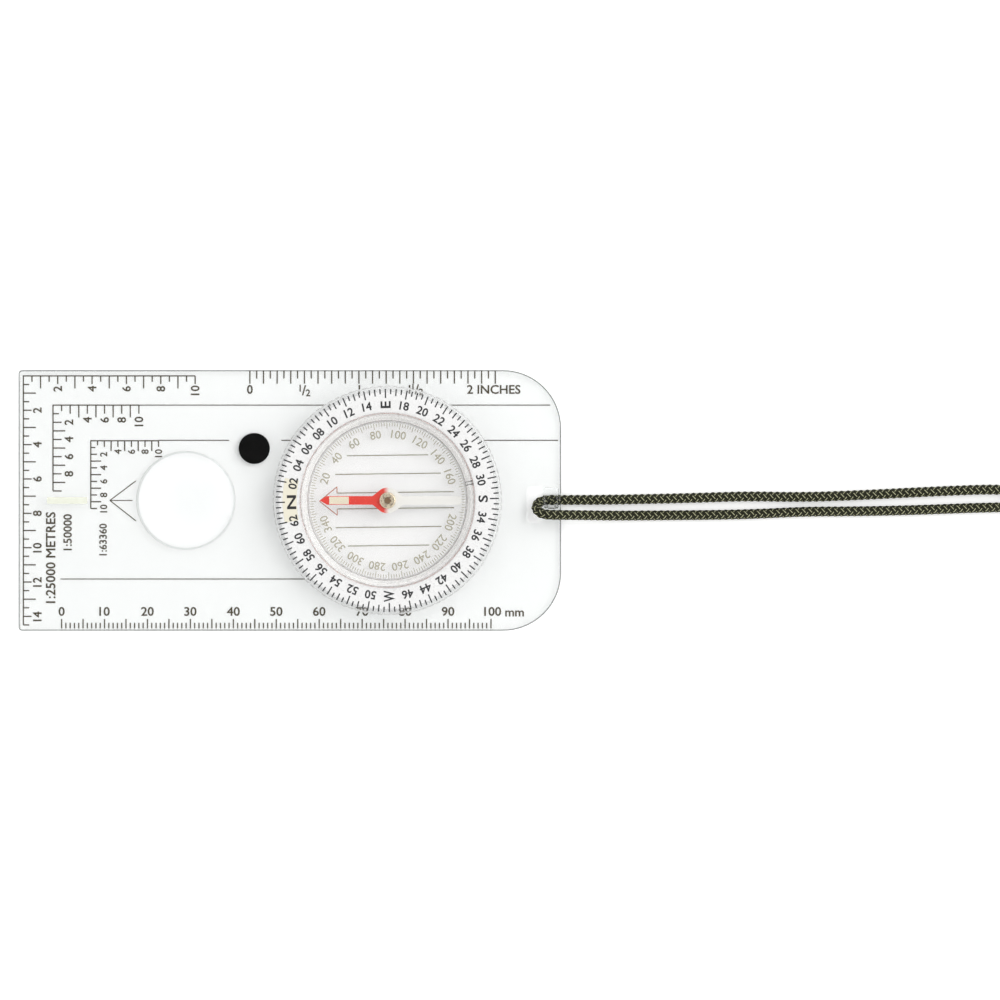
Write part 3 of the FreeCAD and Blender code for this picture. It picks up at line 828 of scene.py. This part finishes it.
# At rest the prints on the dial and in the capsule sit a degree or so off the plate's lines.
DIAL_TURN = math.radians(1.05)
CAPSULE_TURN = math.radians(0.7)
DIAL_PARTS = 64
DIAL_WEIGHT = 0.022
# Letter, capital height and stretch at each quarter of the dial.
CARDINALS = {
    0: ("N", 2.15, 1.62),
    16: ("E", 2.35, 1.15),
    32: ("S", 2.15, 1.3),
    48: ("W", 2.45, 0.7),
}


def on_dial(radius, clockwise, turn):
    """A point at a clockwise angle from north, and the angle that points a figure's top out."""
    angle = math.pi - clockwise + turn
    return (AXIS_X + radius * math.cos(angle), radius * math.sin(angle)), angle - QUARTER


def radial_tick(made, inner, outer, clockwise, turn, width):
    """A line of ink that points at the dial's axis."""
    made.bar(on_dial(inner, clockwise, turn)[0], on_dial(outer, clockwise, turn)[0], width)


def print_dial():
    """A ring of 6400 mils: a tick each 50, and a figure each 200 in hundreds."""
    marks = Print(BEZEL_TOP)
    figures = Print(BEZEL_TOP)
    outer = 25.85
    for n in range(2 * DIAL_PARTS):
        length = 2.1 if n % 4 == 0 else 1.6 if n % 2 == 0 else 1.2
        radial_tick(marks, outer - length, outer, n / (2 * DIAL_PARTS) * TURN, DIAL_TURN,
                    DIAL_TICK)
    for n in range(0, DIAL_PARTS, 2):
        place, angle = on_dial(22.2, n / DIAL_PARTS * TURN, DIAL_TURN)
        if n in CARDINALS:
            letter, height, stretch = CARDINALS[n]
            figures.text(letter, place, height, QUARTER + DIAL_TURN, DIAL_WEIGHT, stretch)
        else:
            figures.text(f"{n:02d}", place, 1.95, angle, DIAL_WEIGHT)
    marks.make("dial_ticks", "dial", dial_ink, "dial_ink")
    figures.make("dial_figures", "dial", dial_ink, "dial_ink")


def print_capsule():
    """A 360 degree scale, the meridian lines and the outlined orienting arrow."""
    lines = Print(CAPSULE_FLOOR)
    marks = Print(CAPSULE_FLOOR)
    figures = Print(CAPSULE_FLOOR)
    arrow = Print(CAPSULE_FLOOR)
    for n in range(180):
        inner = 16.75 if n % 5 == 0 else 17.25
        radial_tick(marks, inner, 18.15, n / 180 * TURN, CAPSULE_TURN, CAPSULE_TICK)
    for degrees in range(20, 360, 20):
        if degrees != 180:
            place, angle = on_dial(15.45, math.radians(degrees), CAPSULE_TURN)
            figures.text(str(degrees), place, 1.85, angle, 0.006)
    turn = Matrix.Rotation(CAPSULE_TURN, 2)

    def place(x, y):
        spot = turn @ Vector((x, y))
        return spot.x + AXIS_X, spot.y

    meridians = [(-11.7, 15.4, 1.85), (-12.2, 12.4, 6.2), (-9.4, 9.5, 10.5)]
    for side in (-1, 1):
        for north, south, y in meridians:
            lines.bar(place(north, side * y), place(south, side * y), MERIDIAN_LINE)
        head = [place(-15.9, 0), place(-11.8, side * 3.3), place(-11.8, side * 1.85)]
        arrow.polyline(head, ARROW_LINE)
    lines.make("capsule_lines", "dial", capsule_ink, "capsule_ink")
    marks.make("capsule_ticks", "dial", pale_ink, "capsule_ink")
    figures.make("capsule_figures", "dial", pale_ink, "capsule_ink")
    arrow.make("orienting_arrow", "dial", arrow_ink, "capsule_ink")


print_plate()
print_dial()
print_capsule()

# ---------------------------------------------------------------- floor and light

# Brightness of the surroundings by height: 0 at the horizon, 1 straight above.
SKY = [(0.0, 0.45), (0.9, 1.15), (0.965, 1.15), (0.985, 0.10)]
FLOOR_DROP = 0.1
FLOOR_HALF = 1500.0
FLOOR_SEGMENTS = 12
FLOOR_GLOW = {"Emission Color": (1.0, 1.0, 1.0), "Emission Strength": 0.28}
KEY_PLACE = (640.0, 230.0, 860.0)
KEY_SIZE = (900.0, 900.0)
KEY_POWER = 3.8
KEY_TARGET = (40.0, 0.0, 0.0)


def make_floor():
    """A plain white sheet with a faint glow of its own, just below the object."""
    mesh = bpy.data.meshes.new("floor")
    row = FLOOR_SEGMENTS + 1
    spots = np.linspace(-FLOOR_HALF, FLOOR_HALF, row) * MM
    verts = [(x, y, -FLOOR_DROP * MM) for y in spots for x in spots]
    faces = [(i + j * row, i + 1 + j * row, i + 1 + (j + 1) * row, i + (j + 1) * row)
             for j in range(FLOOR_SEGMENTS) for i in range(FLOOR_SEGMENTS)]
    mesh.from_pydata(verts, [], faces)
    floor = link("floor", mesh)
    give_material(floor, moulded("light_table", (0.93, 0.93, 0.93), (0.85, 0.95), 400.0, 0.0,
                                 0.004, **FLOOR_GLOW))


def make_key_light():
    """One large soft light, high on the lanyard's side."""
    data = bpy.data.lights.new("key_light", "AREA")
    data.shape = "RECTANGLE"
    data.size = KEY_SIZE[0] * MM
    data.size_y = KEY_SIZE[1] * MM
    data.energy = KEY_POWER
    lamp = link("key_light", data)
    lamp.location = Vector(KEY_PLACE) * MM
    aim = (Vector(KEY_TARGET) - Vector(KEY_PLACE)).normalized()
    lamp.rotation_euler = aim.to_track_quat("-Z", "Y").to_euler()


def make_world():
    """A bright dome, greyer at the horizon and dark straight above, where the camera hangs."""
    world = bpy.data.worlds.new("studio")
    scene.world = world
    world.use_nodes = True
    tree = world.node_tree
    tree.nodes.clear()
    place = tree.nodes.new("ShaderNodeTexCoord")
    split = tree.nodes.new("ShaderNodeSeparateXYZ")
    ramp = tree.nodes.new("ShaderNodeValToRGB")
    ramp.color_ramp.interpolation = "LINEAR"
    stops = ramp.color_ramp.elements
    stops[0].position, stops[1].position = SKY[0][0], SKY[1][0]
    for position, _ in SKY[2:]:
        stops.new(position)
    for stop, (_, level) in zip(stops, SKY):
        stop.color = (level, level, level, 1)
    back = tree.nodes.new("ShaderNodeBackground")
    out = tree.nodes.new("ShaderNodeOutputWorld")
    tree.links.new(place.outputs["Generated"], split.inputs[0])
    tree.links.new(split.outputs[2], ramp.inputs["Fac"])
    tree.links.new(ramp.outputs["Color"], back.inputs["Color"])
    tree.links.new(back.outputs[0], out.inputs["Surface"])


make_floor()
make_world()
make_key_light()
